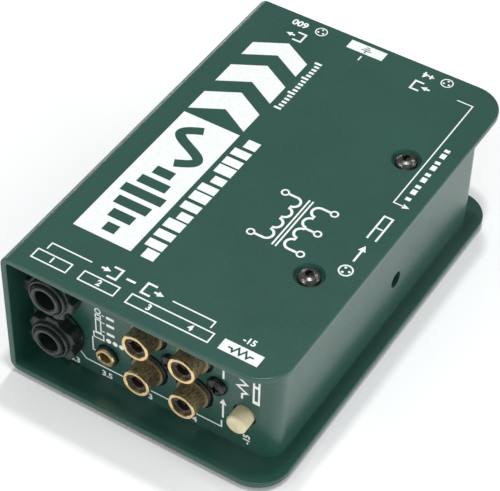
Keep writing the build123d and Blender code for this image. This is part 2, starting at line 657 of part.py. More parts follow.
# ---- XLR sockets ----------------------------------------------------------------------------------
def xlr_screw_places(x):
    """Two screws on a diagonal, in REAR's coordinates."""
    across, up = XLR_SCREW
    return [(-x - across, XLR_Z + up), (-x + across, XLR_Z - up)]


def make_xlr_housing(name, x, cavity, depth, latched=False):
    """Moulded housing behind the panel with a round mouth that shows through it."""
    back = XLR_BODY_BACK - REAR_FACE
    at = (-x, XLR_Z)
    with BuildPart() as housing:
        block(REAR, at, (XLR_WIDTH, 2 * XLR_HALF_HEIGHT), -SHEET, back)
        fillet(housing.edges().filter_by(Axis.Y), 1.2)
        reach, edge, bevel = XLR_BOSS_REACH, 0.4, 0.6
        mouth = [(0, -SHEET), (XLR_BOSS, -SHEET), (XLR_BOSS, reach - edge)]
        mouth += [(XLR_BOSS - edge, reach), (0, reach)]
        turn_on_plane(REAR, at, mouth)
        drill(REAR, at, cavity, reach + 1, reach - depth)
        lead_in = [(0, reach), (cavity + bevel, reach), (cavity, reach - bevel), (0, reach - bevel)]
        turn_on_plane(REAR, at, lead_in, Mode.SUBTRACT)
        for u, v in xlr_screw_places(x):
            drill(REAR, (u, v), XLR_SCREW_SHANK + THREAD_FIT, 1, -SHEET - 8.5)
        if latched:
            block(REAR, (-x, LATCH_Z), LATCH_SLOT, 1, -14.8, Mode.SUBTRACT)
        leads([(x + dx, XLR_BODY_BACK + 3.0) for dx in (-7.6, 0.0, 7.6)])
    housing.part.label = f"{name}_housing"
    export_step(housing.part, f"parts/{name}_housing.step")


def pin_places(x):
    return [(-x + dx, XLR_Z + dz) for dx, dz in XLR_PINS]


def make_xlr_out():
    """Three-pin male socket."""
    cavity, depth = 8.4, 17.0
    make_xlr_housing("xlr_out", XLR_OUT_X, cavity, depth)
    bottom = XLR_BOSS_REACH - depth
    floor = bottom + 3.4
    at = (-XLR_OUT_X, XLR_Z)
    with BuildPart() as insert:
        turn_on_plane(REAR, at, [(0, bottom), (cavity - 0.03, bottom), (cavity - 0.03, floor), (0, floor)])
        for spot in pin_places(XLR_OUT_X):
            drill(REAR, spot, XLR_PIN_RADIUS + 0.02, bottom - 1, floor + 1)
        key = (1.8, 1.4)
        block(REAR, (at[0], XLR_Z + cavity - 0.2 - key[1] / 2), key, floor, floor + 8.6)
    insert.part.label = "xlr_out_insert"
    export_step(insert.part, "parts/xlr_out_insert.step")

    with BuildPart() as pins:
        r = XLR_PIN_RADIUS
        tip = bottom + 15.0
        point = [(r, tip - 0.8 * r), (r * 0.75, tip - 0.3 * r), (r * 0.35, tip)]
        outline = [(0, bottom), (r, bottom), *point, (0, tip)]
        for spot in pin_places(XLR_OUT_X):
            turn_on_plane(REAR, spot, outline)
    pins.part.label = "xlr_out_pins"
    export_step(pins.part, "parts/xlr_out_pins.step")


def make_xlr_in():
    """Three-hole female socket with a push latch."""
    cavity, depth = 9.6, 16.0
    make_xlr_housing("xlr_in", XLR_IN_X, cavity, depth, latched=True)
    bottom = XLR_BOSS_REACH - depth
    at = (-XLR_IN_X, XLR_Z)
    with BuildPart() as insert:
        r, edge = 7.9, 0.4
        top = XLR_BOSS_REACH - 0.8
        flange, flange_top = cavity - 0.03, bottom + 2.0
        outline = [(0, bottom), (flange, bottom), (flange, flange_top), (r, flange_top)]
        outline += [(r, top - edge), (r - edge, top), (0, top)]
        turn_on_plane(REAR, at, outline)
        tube_top = top - 1.4
        for spot in pin_places(XLR_IN_X):
            drill(REAR, spot, 1.75, bottom - 1, tube_top + EMBED)
            drill(REAR, spot, PIN_HOLE, tube_top - EMBED, top + 1)
        keyway = (2.2, 1.6)
        block(REAR, (at[0], XLR_Z + r), keyway, top + 1, flange_top + 2, Mode.SUBTRACT)
    insert.part.label = "xlr_in_insert"
    export_step(insert.part, "parts/xlr_in_insert.step")

    with BuildPart() as contacts:
        for spot in pin_places(XLR_IN_X):
            bore, outside, floor = 1.25, 1.7, bottom + 1.5
            tube = [(bore, tube_top), (outside, tube_top), (outside, bottom)]
            tube += [(0, bottom), (0, floor), (bore, floor)]
            turn_on_plane(REAR, spot, tube)
    contacts.part.label = "xlr_in_contacts"
    export_step(contacts.part, "parts/xlr_in_contacts.step")

    with BuildPart() as latch:
        under, face, rib = 1.8, 3.3, 0.3
        tab_z = LATCH_Z + 0.2
        block(REAR, (at[0], tab_z), (8.4, 3.0), under, face)
        fillet(latch.edges().filter_by(Axis.Y), 0.8)
        for step in (-0.9, 0.0, 0.9):
            block(REAR, (at[0], tab_z + step), (5.6, 0.4), face, face + rib)
        block(REAR, (at[0], LATCH_Z), LATCH_STEM, -12.6, under)
    latch.part.label = "xlr_in_latch"
    export_step(latch.part, "parts/xlr_in_latch.step")


def make_xlr_screws():
    with BuildPart() as screws:
        for x in (XLR_OUT_X, XLR_IN_X):
            for at in xlr_screw_places(x):
                pan_head_screw(REAR, at, head=2.7, height=1.6, shank=XLR_SCREW_SHANK, length=SHEET + 7.5)
    screws.part.label = "xlr_screws"
    export_step(screws.part, "parts/xlr_screws.step")


# ---- Transformer ----------------------------------------------------------------------------------
def make_transformer():
    """Audio transformer: a drawn steel can over a laminated core with a wound bobbin."""
    x, y = TRANSFORMER_X, TRANSFORMER_Y
    ground = Plane.XY.offset(BOARD_TOP)
    with BuildPart() as can:
        block(ground, (x, y), (CAN_WIDTH, CAN_LENGTH), 0, CAN_HEIGHT)
        fillet(can.edges().filter_by(Axis.Z), 3.0)
        fillet(can.faces().sort_by(Axis.Z)[-1].edges(), 1.2)
        inner = (CAN_WIDTH - 2 * CAN_WALL, CAN_LENGTH - 2 * CAN_WALL)
        with BuildSketch(ground) as hollow:
            with Locations((x, y)):
                RectangleRounded(*inner, 2.2)
        extrude(hollow.sketch, amount=CAN_HEIGHT - CAN_WALL, mode=Mode.SUBTRACT)
    can.part.label = "transformer_can"
    export_step(can.part, "parts/transformer_can.step")

    core_low, core_high = 4.0, 19.0
    limb = 7.0
    with BuildPart() as core:
        block(ground, (x, y), (22.0, 26.0), core_low, core_high)
        for side in (-1, 1):
            block(ground, (x + side * 5.5, y), (4.0, 18.0), core_low - 1, core_high + 1, Mode.SUBTRACT)
    core.part.label = "transformer_core"
    export_step(core.part, "parts/transformer_core.step")

    with BuildPart() as bobbin:
        block(ground, (x, y), (limb + 1.4, 17.6), 2.6, 20.6)
        for side in (-1, 1):
            for along in (-1, 1):
                block(ground, (x + side * 5.45, y + along * 8.3), (3.7, 1.0), 2.6, 20.6)
        block(ground, (x, y), (limb + 0.1, 30.0), core_low - 0.05, core_high + 0.05, Mode.SUBTRACT)
        block(ground, (x, y), (16.0, 17.6), 0, 2.5)
        leads([(x + dx, y + dy) for dx in (-6.5, 6.5) for dy in (-7.0, 0.0, 7.0)], BOARD_TOP + LEAD_STUB)
    bobbin.part.label = "transformer_bobbin"
    export_step(bobbin.part, "parts/transformer_bobbin.step")

    with BuildPart() as winding:
        for side in (-1, 1):
            block(ground, (x + side * 5.8, y), (2.9, 15.4), core_low, core_high)
    winding.part.label = "transformer_winding"
    export_step(winding.part, "parts/transformer_winding.step")


# ---- Small parts on the board ---------------------------------------------------------------------
RESISTOR_PLACES = [(-33.0, -14.0 + 4.5 * i) for i in range(8)] + [(15.0, -24.0 + 4.5 * i) for i in range(5)]
CAPACITOR_PLACES = [(-8.0 + 7.0 * i, 27.0) for i in range(3)] + [(-13.0, -29.0), (-4.0, -31.5)]


def make_resistors():
    """Axial resistors: a waisted body and two wires bent down into the board."""
    half, reach = 3.2, 4.6
    with BuildPart() as resistors:
        for x, y in RESISTOR_PLACES:
            z = BOARD_TOP + 1.5
            along = Plane((x, y, z), x_dir=(0, 1, 0), z_dir=(1, 0, 0))
            shape = [(0, -half), (0.9, -half), (1.2, -half + 0.6), (0.95, -half + 1.3), (0.95, half - 1.3)]
            shape += [(1.2, half - 0.6), (0.9, half), (0, half)]
            turn_on_plane(along, (0, 0), shape)
            wire = [(0, -reach), (LEAD_RADIUS, -reach), (LEAD_RADIUS, reach), (0, reach)]
            turn_on_plane(along, (0, 0), wire)
            leads([(x - reach, y), (x + reach, y)], z)
    resistors.part.label = "resistors"
    export_step(resistors.part, "parts/resistors.step")


def make_capacitors():
    """Boxed film capacitors."""
    with BuildPart() as capacitors:
        for x, y in CAPACITOR_PLACES:
            block(Plane.XY.offset(BOARD_TOP), (x, y), (5.2, 3.4), 0, 6.5)
        fillet(capacitors.edges().filter_by(Axis.Z), 0.5)
        for x, y in CAPACITOR_PLACES:
            leads([(x - 1.8, y), (x + 1.8, y)], BOARD_TOP + LEAD_STUB)
    capacitors.part.label = "film_capacitors"
    export_step(capacitors.part, "parts/film_capacitors.step")


def make_board():
    """Circuit board with lead holes, and notches past the two lower clinch nuts."""
    width = BOARD_RIGHT - BOARD_LEFT
    with BuildPart() as board:
        with BuildSketch(Plane.XY.offset(BOARD_TOP)):
            with Locations(((BOARD_LEFT + BOARD_RIGHT) / 2, 0)):
                RectangleRounded(width, 2 * BOARD_HALF, BOARD_CORNER)
            notch = CLINCH_RADIUS + NUT_CLEARANCE
            with Locations(*screw_places()):
                Circle(notch, mode=Mode.SUBTRACT)
            open_end = BOARD_RIGHT - SCREW_X
            with Locations(*[(SCREW_X + open_end / 2, y) for _, y in screw_places()]):
                Rectangle(open_end, 2 * notch, mode=Mode.SUBTRACT)
            with Locations(*board_leads):
                Circle(LEAD_RADIUS + LEAD_CLEARANCE, mode=Mode.SUBTRACT)
        extrude(amount=-BOARD_THICKNESS)
    board.part.label = "circuit_board"
    export_step(board.part, "parts/circuit_board.step")


os.makedirs("parts", exist_ok=True)
make_cover()
make_chassis()
make_nut_brackets()
make_pad()
make_cover_screws()
make_clinch_nuts()
for jack_level in JACK_Z:
    make_jack(jack_level)
make_mini_jack()
for block_side in PHONO_X:
    make_phono_block(block_side)
    for socket_level in PHONO_Z:
        make_phono_socket(block_side, socket_level)
make_phono_screws()
make_capped_switch("pad", FRONT, PAD_X)
make_capped_switch("lift", REAR, -LIFT_X)
make_select_switch()
make_xlr_out()
make_xlr_in()
make_xlr_screws()
make_transformer()
make_resistors()
make_capacitors()
make_board()
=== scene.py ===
import json
import math

import bmesh
import bpy
from mathutils import Matrix, Vector


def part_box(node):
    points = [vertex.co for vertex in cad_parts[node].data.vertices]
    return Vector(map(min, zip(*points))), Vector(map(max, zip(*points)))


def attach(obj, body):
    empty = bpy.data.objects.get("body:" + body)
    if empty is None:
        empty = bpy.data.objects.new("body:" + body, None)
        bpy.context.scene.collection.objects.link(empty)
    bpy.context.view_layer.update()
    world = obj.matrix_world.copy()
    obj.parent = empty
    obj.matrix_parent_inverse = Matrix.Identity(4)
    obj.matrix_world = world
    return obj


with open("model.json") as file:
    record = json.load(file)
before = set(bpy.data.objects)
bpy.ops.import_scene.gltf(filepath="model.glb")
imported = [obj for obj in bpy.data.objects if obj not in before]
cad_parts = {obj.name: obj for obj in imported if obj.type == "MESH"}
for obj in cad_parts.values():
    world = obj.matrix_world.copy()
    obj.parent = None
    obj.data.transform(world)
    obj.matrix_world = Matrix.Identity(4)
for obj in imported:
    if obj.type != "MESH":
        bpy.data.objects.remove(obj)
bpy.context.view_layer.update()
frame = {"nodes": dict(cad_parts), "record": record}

MM = 0.001
BODY = "case"

# Places that everything else is worked out from, in metres.
COVER_LOW, COVER_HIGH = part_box("cover")
CHASSIS_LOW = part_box("chassis")[0]
FOOT = COVER_LOW.z


# ---- Camera ---------------------------------------------------------------------------
CAMERA_AZIMUTH = math.radians(30.912)
CAMERA_ELEVATION = math.radians(45.731)
CAMERA_ROLL = math.radians(1.632)
CAMERA_DISTANCE = 529.54 * MM
CAMERA_SLIDE = (-4.15 * MM, -5.41 * MM)  # across and up the picture
CAMERA_AIM = Vector((0, 0, FOOT + 24.0 * MM))
CAMERA_LENS = 136.54
CAMERA_NEAR, CAMERA_FAR = 0.02, 20.0


def make_camera():
    across_ground = math.cos(CAMERA_ELEVATION)
    back = Vector((
        math.sin(CAMERA_AZIMUTH) * across_ground,
        -math.cos(CAMERA_AZIMUTH) * across_ground,
        math.sin(CAMERA_ELEVATION),
    ))
    level = Vector((math.cos(CAMERA_AZIMUTH), math.sin(CAMERA_AZIMUTH), 0))
    rise = back.cross(level)
    right = level * math.cos(CAMERA_ROLL) + rise * math.sin(CAMERA_ROLL)
    up = back.cross(right)
    turn = Matrix((right, up, back)).transposed().to_4x4()
    slide_across, slide_up = CAMERA_SLIDE
    spot = CAMERA_AIM + back * CAMERA_DISTANCE + right * slide_across + up * slide_up
    data = bpy.data.cameras.new("camera")
    data.lens = CAMERA_LENS
    data.clip_start = CAMERA_NEAR
    data.clip_end = CAMERA_FAR
    camera = bpy.data.objects.new("camera", data)
    camera.matrix_world = Matrix.Translation(spot) @ turn
    bpy.context.scene.collection.objects.link(camera)
    bpy.context.scene.camera = camera


# ---- Light ----------------------------------------------------------------------------
SURROUNDINGS = (0.95, 0.98, 1.0)
SURROUNDINGS_STRENGTH = 0.27
LIGHT_AIM = Vector((0, 0, 0.02))
# Name, place, size, power, and whether reflections show it. Both fills stay out of
# reflections, where they would lie on the top plate as white patches from some angles.
LIGHTS = (
    ("overhead_right", (0.095, -0.11, 1.2), (0.07, 0.07), 4.5, True),
    ("overhead_left", (-0.08, 0.24, 1.2), (0.07, 0.07), 4.6, True),
    ("back_strip", (0.55, 0.66, 0.68), (0.7, 0.05), 2.1, True),
    ("front_strip", (-0.39, -0.62, 0.83), (0.6, 0.05), 2.1, True),
    ("front_fill", (0.1, -1.1, 0.3), (0.5, 0.5), 5.0, False),
    ("side_fill", (1.05, 0.1, 0.28), (0.5, 0.5), 6.0, False),
    ("rim_strip", (-0.86, 0.66, 0.22), (0.4, 0.1), 1.2, True),
)


def make_area_light(name, place, size, power, in_reflections):
    data = bpy.data.lights.new(name, "AREA")
    data.shape = "RECTANGLE"
    data.size, data.size_y = size
    data.energy = power
    lamp = bpy.data.objects.new(name, data)
    lamp.location = place
    lamp.rotation_mode = "QUATERNION"
    lamp.rotation_quaternion = (LIGHT_AIM - Vector(place)).to_track_quat("-Z", "Y")
    lamp.visible_glossy = in_reflections
    bpy.context.scene.collection.objects.link(lamp)


def make_light():
    world = bpy.data.worlds.new("studio")
    world.use_nodes = True
    background = world.node_tree.nodes["Background"].inputs
    background["Color"].default_value = (*SURROUNDINGS, 1)
    background["Strength"].default_value = SURROUNDINGS_STRENGTH
    bpy.context.scene.world = world
    bpy.context.scene.view_settings.view_transform = "Standard"
    for light in LIGHTS:
        make_area_light(*light)


# ---- Materials ------------------------------------------------------------------------
FINISHES = {}  # every finish made, by its name

# The Mix node's colour sockets share their names with its number sockets, so they go by
# their order instead.
MIX_FIRST, MIX_SECOND, MIX_RESULT = 6, 7, 2


class Finish:
    """A node material under construction, with short ways to add its usual nodes.

    Scales are in cycles per metre and depths in metres, over the object's own
    coordinates.
    """

    def __init__(self, name, **values):
        self.material = bpy.data.materials.new(name)
        self.material.use_nodes = True
        self.tree = self.material.node_tree
        self.shader = self.tree.nodes["Principled BSDF"]
        self.place = self.tree.nodes.new("ShaderNodeTexCoord").outputs["Object"]
        for key, value in values.items():
            self.shader.inputs[key.replace("_", " ")].default_value = value
        FINISHES[name] = self.material

    def node(self, kind, **values):
        made = self.tree.nodes.new("ShaderNode" + kind)
        for key, value in values.items():
            setattr(made, key, value)
        return made

    def link(self, start, end):
        self.tree.links.new(start, end)

    def noise(self, scale, detail=3.0, roughness=0.55, stretch=None):
        made = self.node("TexNoise")
        made.inputs["Scale"].default_value = scale
        made.inputs["Detail"].default_value = detail
        made.inputs["Roughness"].default_value = roughness
        place = self.place
        if stretch:
            mapping = self.node("Mapping")
            mapping.inputs["Scale"].default_value = stretch
            self.link(place, mapping.inputs["Vector"])
            place = mapping.outputs["Vector"]
        self.link(place, made.inputs["Vector"])
        return made.outputs["Fac"]

    def bands(self, direction, scale, distortion=0.0):
        """Bands that follow one another along an axis."""
        made = self.node("TexWave", wave_type="BANDS", bands_direction=direction)
        made.inputs["Scale"].default_value = scale
        made.inputs["Distortion"].default_value = distortion
        self.link(self.place, made.inputs["Vector"])
        return made.outputs["Fac"]

    def between(self, value, low, high, start=0.3, end=0.7):
        """Maps a value that runs from start to end to a number from low to high."""
        made = self.node("MapRange")
        limits = {"From Min": start, "From Max": end, "To Min": low, "To Max": high}
        for key, number in limits.items():
            made.inputs[key].default_value = number
        self.link(value, made.inputs["Value"])
        return made.outputs["Result"]

    def blend(self, value, first, second, start=0.35, end=0.65):
        """Mixes two colours by a value. Either may be a colour or a socket."""
        mix = self.node("Mix", data_type="RGBA")
        self.link(self.between(value, 0.0, 1.0, start, end), mix.inputs["Factor"])
        for socket, colour in ((MIX_FIRST, first), (MIX_SECOND, second)):
            if isinstance(colour, tuple):
                mix.inputs[socket].default_value = (*colour, 1)
            else:
                self.link(colour, mix.inputs[socket])
        return mix.outputs[MIX_RESULT]

    def colour(self, socket):
        self.link(socket, self.shader.inputs["Base Color"])

    def rough(self, socket):
        self.link(socket, self.shader.inputs["Roughness"])

    def bump(self, height, depth, strength):
        """Adds relief. Later calls lie on top of earlier ones."""
        made = self.node("Bump")
        made.inputs["Distance"].default_value = depth
        made.inputs["Strength"].default_value = strength
        self.link(height, made.inputs["Height"])
        normal = self.shader.inputs["Normal"]
        if normal.is_linked:
            self.link(normal.links[0].from_socket, made.inputs["Normal"])
        self.link(made.outputs["Normal"], normal)


def enamel(name, dark, light, gloss, skin):
    """Baked semi-gloss enamel: slow drift of tone, paler specks and a skin of orange peel.

    gloss is its middling roughness, and skin the depth of the coarser peel.
    """
    finish = Finish(name, Specular_IOR_Level=0.5)
    drift = finish.noise(scale=38.0, detail=2.0)
    specks = finish.noise(scale=2600.0, detail=2.0)
    speck_colour = tuple(channel * 1.5 + 0.004 for channel in light)
    toned = finish.blend(drift, dark, light)
    finish.colour(finish.blend(specks, toned, speck_colour, start=0.6, end=0.78))
    haze = finish.noise(scale=140.0, detail=4.0)
    finish.rough(finish.between(haze, gloss - 0.02, gloss + 0.03))
    finish.bump(finish.noise(scale=1700.0, detail=1.5), skin, strength=0.4)
    finish.bump(finish.noise(scale=3600.0, detail=2.0), skin * 0.6, strength=0.4)


def moulded(name, dark, light, roughness, grain=1500.0, depth=0.02 * MM):
    """Moulded plastic: faint flow marks and a fine spark-eroded grain."""
    finish = Finish(name, Specular_IOR_Level=0.5)
    finish.colour(finish.blend(finish.noise(scale=220.0, detail=4.0), dark, light))
    haze = finish.noise(scale=700.0, detail=2.0)
    finish.rough(finish.between(haze, roughness - 0.06, roughness + 0.08))
    finish.bump(finish.noise(scale=grain, detail=2.0), depth, strength=0.5)


def metal(name, dark, light, roughness, stretch=(1, 1, 1)):
    """Plated or bare metal: patchy, with fine marks stretched the way it was worked."""
    finish = Finish(name, Metallic=1.0)
    finish.colour(finish.blend(finish.noise(scale=420.0, detail=4.0), dark, light))
    marks = finish.noise(scale=900.0, detail=3.0, roughness=0.6, stretch=stretch)
    finish.rough(finish.between(marks, roughness - 0.06, roughness + 0.1))
    finish.bump(marks, depth=0.01 * MM, strength=0.4)


def gilt(name, socket):
    """Thin gold plating, painted lighter at a socket's mouth as a painted highlight and darker
    down its barrel as painted shade; the barrel is also rougher and less metallic.
    """
    finish = Finish(name)
    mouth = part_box(socket)[0].y
    # Where the painted highlight at the mouth ends and the painted shade down the barrel begins,
    # along Y.
    highlight_to, shade_from = mouth + 0.4 * MM, mouth + 1.1 * MM
    parts = finish.node("SeparateXYZ")
    finish.link(finish.place, parts.inputs["Vector"])
    painted_shade_share = finish.between(parts.outputs["Y"], 0.0, 1.0, highlight_to, shade_from)
    turned = finish.noise(scale=2400.0, detail=4.0, roughness=0.6, stretch=(1, 0.35, 1))
    # Painted highlight gold for the mouth and painted shade gold for the barrel, both standing
    # in for reflections.
    painted_highlight_gold = finish.blend(turned, (0.72, 0.52, 0.25), (0.92, 0.72, 0.4))
    painted_shade_gold = finish.blend(turned, (0.1, 0.077, 0.042), (0.4, 0.31, 0.17))
    finish.colour(finish.blend(painted_shade_share, painted_highlight_gold, painted_shade_gold, start=0.0, end=1.0))
    metallic = finish.between(painted_shade_share, 1.0, 0.6, start=0.0, end=1.0)
    finish.link(metallic, finish.shader.inputs["Metallic"])
    roughness = finish.node("Math", operation="MULTIPLY_ADD")
    shade_input, dulling_input, polish_input = roughness.inputs
    dulling_input.default_value = 0.2
    finish.link(painted_shade_share, shade_input)
    finish.link(finish.between(turned, 0.14, 0.3), polish_input)
    finish.rough(roughness.outputs["Value"])
    finish.bump(turned, depth=0.01 * MM, strength=0.4)


def rubber(name, dark, light):
    """Matt rubber sheet with a fine calendered weave."""
    finish = Finish(name, Specular_IOR_Level=0.3)
    finish.colour(finish.blend(finish.noise(scale=260.0, detail=5.0), dark, light))
    finish.rough(finish.between(finish.noise(scale=900.0), 0.72, 0.9))
    finish.bump(finish.noise(scale=2100.0, detail=3.0), depth=0.05 * MM, strength=0.6)


def ink(name, dark, light):
    """Screen-printed ink: opaque, a little uneven and faintly raised."""
    finish = Finish(name, Specular_IOR_Level=0.4)
    finish.colour(finish.blend(finish.noise(scale=900.0, detail=4.0), dark, light))
    finish.rough(finish.between(finish.noise(scale=1800.0), 0.38, 0.55))
    finish.bump(finish.noise(scale=2600.0, detail=2.0), depth=0.01 * MM, strength=0.3)


def laminated(name, dark, light):
    """Stack of steel sheets seen on edge: fine bands along Z."""
    finish = Finish(name, Metallic=0.8)
    sheets = finish.bands("Z", scale=620.0, distortion=0.4)
    finish.colour(finish.blend(sheets, dark, light))
    finish.rough(finish.between(finish.noise(scale=500.0), 0.4, 0.6))
    finish.bump(sheets, depth=0.06 * MM, strength=0.7)


def wound(name, dark, light):
    """Layers of enamelled wire, as bands round the limb."""
    finish = Finish(name, Metallic=1.0)
    turns = finish.bands("Y", scale=900.0, distortion=0.8)
    finish.colour(finish.blend(turns, dark, light))
    finish.rough(finish.between(finish.noise(scale=600.0), 0.25, 0.4))
    finish.bump(turns, depth=0.08 * MM, strength=0.8)


def masked_board(name, mask, track):
    """Solder mask over glass cloth, with copper tracks showing as paler bands."""
    finish = Finish(name, Specular_IOR_Level=0.5, Coat_Weight=0.3, Coat_Roughness=0.2)
    bricks = finish.node("TexBrick", offset=0.5, squash=1.0)
    bricks.inputs["Scale"].default_value = 90.0
    bricks.inputs["Mortar Size"].default_value = 0.05
    finish.link(finish.place, bricks.inputs["Vector"])
    tracks = bricks.outputs["Fac"]
    finish.colour(finish.blend(tracks, mask, track, start=0.0, end=1.0))
    finish.rough(finish.between(finish.noise(scale=400.0), 0.25, 0.4))
    finish.bump(tracks, depth=0.03 * MM, strength=0.5)


def ringed_resistor(name, dark, light, ring):
    """Lacquered resistor body with colour rings along its length."""
    finish = Finish(name, Specular_IOR_Level=0.5, Coat_Weight=0.4, Coat_Roughness=0.15)
    rings = finish.bands("X", scale=210.0)
    body = finish.blend(finish.noise(scale=500.0), dark, light)
    finish.colour(finish.blend(rings, body, ring, start=0.8, end=0.88))
    finish.rough(finish.between(finish.noise(scale=800.0), 0.2, 0.35))
    finish.bump(finish.noise(scale=900.0), depth=0.02 * MM, strength=0.3)


GREEN_DARK, GREEN_LIGHT = (0.0158, 0.0625, 0.048), (0.018, 0.069, 0.053)
DRAWN_ALONG_Y = (1, 0.15, 1)
DRAWN_ALONG_Z = (1, 1, 0.1)


def make_finishes():
    """Makes the finish of each material slot, of the mini jack's ring and of the ink."""
    enamel("cover_paint", GREEN_DARK, GREEN_LIGHT, gloss=0.3, skin=0.014 * MM)
    enamel("chassis_paint", GREEN_DARK, GREEN_LIGHT, gloss=0.25, skin=0.008 * MM)
    rubber("rubber_pad", (0.012, 0.012, 0.012), (0.024, 0.024, 0.025))
    metal("screw_steel", (0.075, 0.078, 0.07), (0.19, 0.185, 0.17), 0.27)
    metal("black_screw", (0.035, 0.037, 0.037), (0.08, 0.085, 0.085), 0.38)
    metal("plated_steel", (0.5, 0.5, 0.49), (0.66, 0.66, 0.65), 0.26)
    moulded("jack_plastic", (0.008, 0.0145, 0.012), (0.0155, 0.024, 0.0205), 0.3)
    gilt("gold_plate", "phono_shell_left_upper")
    gilt("gold_ring", "mini_jack_ring")
    moulded("insulator_plastic", (0.015, 0.013, 0.011), (0.028, 0.024, 0.019), 0.4)
    moulded("button_cream", (0.5, 0.43, 0.25), (0.68, 0.61, 0.41), 0.45, 900.0, 0.04 * MM)
    moulded("plunger_plastic", (0.55, 0.52, 0.44), (0.64, 0.61, 0.53), 0.45)
    metal("silver_plate", (0.6, 0.6, 0.58), (0.8, 0.8, 0.78), 0.18, DRAWN_ALONG_Y)
    moulded("latch_plastic", (0.02, 0.021, 0.021), (0.03, 0.031, 0.031), 0.3)
    masked_board("board_green", (0.012, 0.085, 0.03), (0.03, 0.17, 0.06))
    metal("can_steel", (0.42, 0.42, 0.41), (0.56, 0.56, 0.55), 0.3, DRAWN_ALONG_Z)
    laminated("core_steel", (0.12, 0.115, 0.11), (0.3, 0.3, 0.31))
    moulded("bobbin_plastic", (0.5, 0.46, 0.34), (0.6, 0.56, 0.43), 0.5)
    wound("copper_wire", (0.3, 0.1, 0.04), (0.72, 0.34, 0.16))
    lacquer_dark, lacquer_light, ring = (0.05, 0.16, 0.3), (0.08, 0.22, 0.38), (0.24, 0.07, 0.02)
    ringed_resistor("resistor_coat", lacquer_dark, lacquer_light, ring)
    moulded("capacitor_box", (0.3, 0.03, 0.022), (0.38, 0.045, 0.03), 0.28)
    ink("white_ink", (0.69, 0.72, 0.71), (0.75, 0.78, 0.77))


def dress_frame():
    """Gives every CAD node the finish of its material slot, and the mini jack's ring its own."""
    for subpart in frame["record"]["subparts"]:
        dress(subpart["node"], subpart["material_slot"])
    dress("mini_jack_ring", "gold_ring")


def dress(node, finish):
    for slot in frame["nodes"][node].material_slots:
        slot.material = FINISHES[finish]


# ---- Marks ----------------------------------------------------------------------------
# A mark is a list of closed outlines, in millimetres on a face of the box. An outline
# inside another one is a hole.
LINE = 0.42  # width of most printed lines
INK = 0.04  # thickness of the ink
INK_SINK = 0.005  # how far its back lies below the paint
WELD = 1e-8  # how near, in metres, corners have to be to become one
CIRCLE_STEPS, ARC_STEPS = 36, 18
MITRE_LIMIT = 0.3
NUMERAL_WEIGHT = 0.03  # how much numerals are thickened, as a share of their size


def box_mark(x0, y0, x1, y1):
    return [[(x0, y0), (x1, y0), (x1, y1), (x0, y1)]]


def frame_mark(x0, y0, x1, y1, width=LINE):
    return box_mark(x0, y0, x1, y1) + box_mark(x0 + width, y0 + width, x1 - width, y1 - width)


def circle_points(x, y, radius, start=0.0, end=360.0, steps=CIRCLE_STEPS):
    turns = [math.radians(start + (end - start) * i / steps) for i in range(steps + 1)]
    return [(x + radius * math.cos(turn), y + radius * math.sin(turn)) for turn in turns]


def disc_mark(x, y, radius):
    return [circle_points(x, y, radius)[:-1]]


def ring_mark(x, y, radius, width):
    return disc_mark(x, y, radius) + disc_mark(x, y, radius - width)


def arc_mark(x, y, radius, start, end, width):
    outer = circle_points(x, y, radius, start, end, ARC_STEPS)
    inner = circle_points(x, y, radius - width, start, end, ARC_STEPS)
    return [outer + inner[::-1]]


def line_mark(points, width=LINE):
    """A stroke along a run of points, mitred at its corners."""
    spots = [Vector(point) for point in points]
    sides = []
    for i, spot in enumerate(spots):
        before = (spot - spots[i - 1]).normalized() if i else (spots[1] - spot).normalized()
        after = (spots[i + 1] - spot).normalized() if i < len(spots) - 1 else before
        bisector = (before + after).normalized()
        normal = Vector((-bisector.y, bisector.x))
        narrowing = normal.dot(Vector((-before.y, before.x)))
        sides.append(normal * (width / 2 / max(MITRE_LIMIT, narrowing)))
    left = [tuple(spot + side) for spot, side in zip(spots, sides)]
    right = [tuple(spot - side) for spot, side in zip(spots, sides)]
    return [left + right[::-1]]


def arrow_mark(length, head, width):
    """A straight arrow along +x from the origin."""
    neck = length - head
    half, wing = width / 2, head / 2
    upper = [(length, 0), (neck, wing), (neck, half), (0, half)]
    return [[(0, -half), (neck, -half), (neck, -wing)] + upper]


def moved(outlines, x, y, turn=0.0):
    c, s = math.cos(math.radians(turn)), math.sin(math.radians(turn))
    return [[(x + u * c - v * s, y + u * s + v * c) for u, v in outline] for outline in outlines]


def box_arrow(size, inward):
    """Arrow into an open square for an input, or out of one for an output."""
    half, stroke = size / 2, size * 0.17
    length, head, depth = size * 0.8, size * 0.5, half * 1.5
    wall = depth if inward else -depth
    tail = -depth if inward else half * 0.1
    arrow = moved(arrow_mark(length, head, stroke), tail, 0)
    return arrow + line_mark([(0, half), (wall, half), (wall, -half), (0, -half)], stroke)


def three_pins(radius, stroke=0.35):
    """End view of a three-pin connector."""
    marks = ring_mark(0, 0, radius, stroke)
    pin_reach, pin_radius = radius / 2, radius * 0.18
    for angle in (30, 150, 270):
        turn = math.radians(angle)
        marks += disc_mark(pin_reach * math.cos(turn), pin_reach * math.sin(turn), pin_radius)
    return marks


def resistor_symbol(pitch, height, stroke):
    """Zigzag with a lead at each end, centred on the origin."""
    body, tip = 2.5 * pitch, 3.6 * pitch
    zigzag = [((i - 2) * pitch, height if i % 2 else -height) for i in range(5)]
    return line_mark([(-tip, 0), (-body, 0)] + zigzag + [(body, 0), (tip, 0)], stroke)


def ground_symbol():
    """Three bars that shorten downward, and a stem."""
    thickness, pitch, stem_half, stem_top = 0.38, 0.75, 0.2, 1.5
    marks = box_mark(-stem_half, thickness, stem_half, stem_top)
    for i, reach in enumerate((1.6, 1.0, 0.5)):
        marks += box_mark(-reach, -pitch * i, reach, thickness - pitch * i)
    return marks


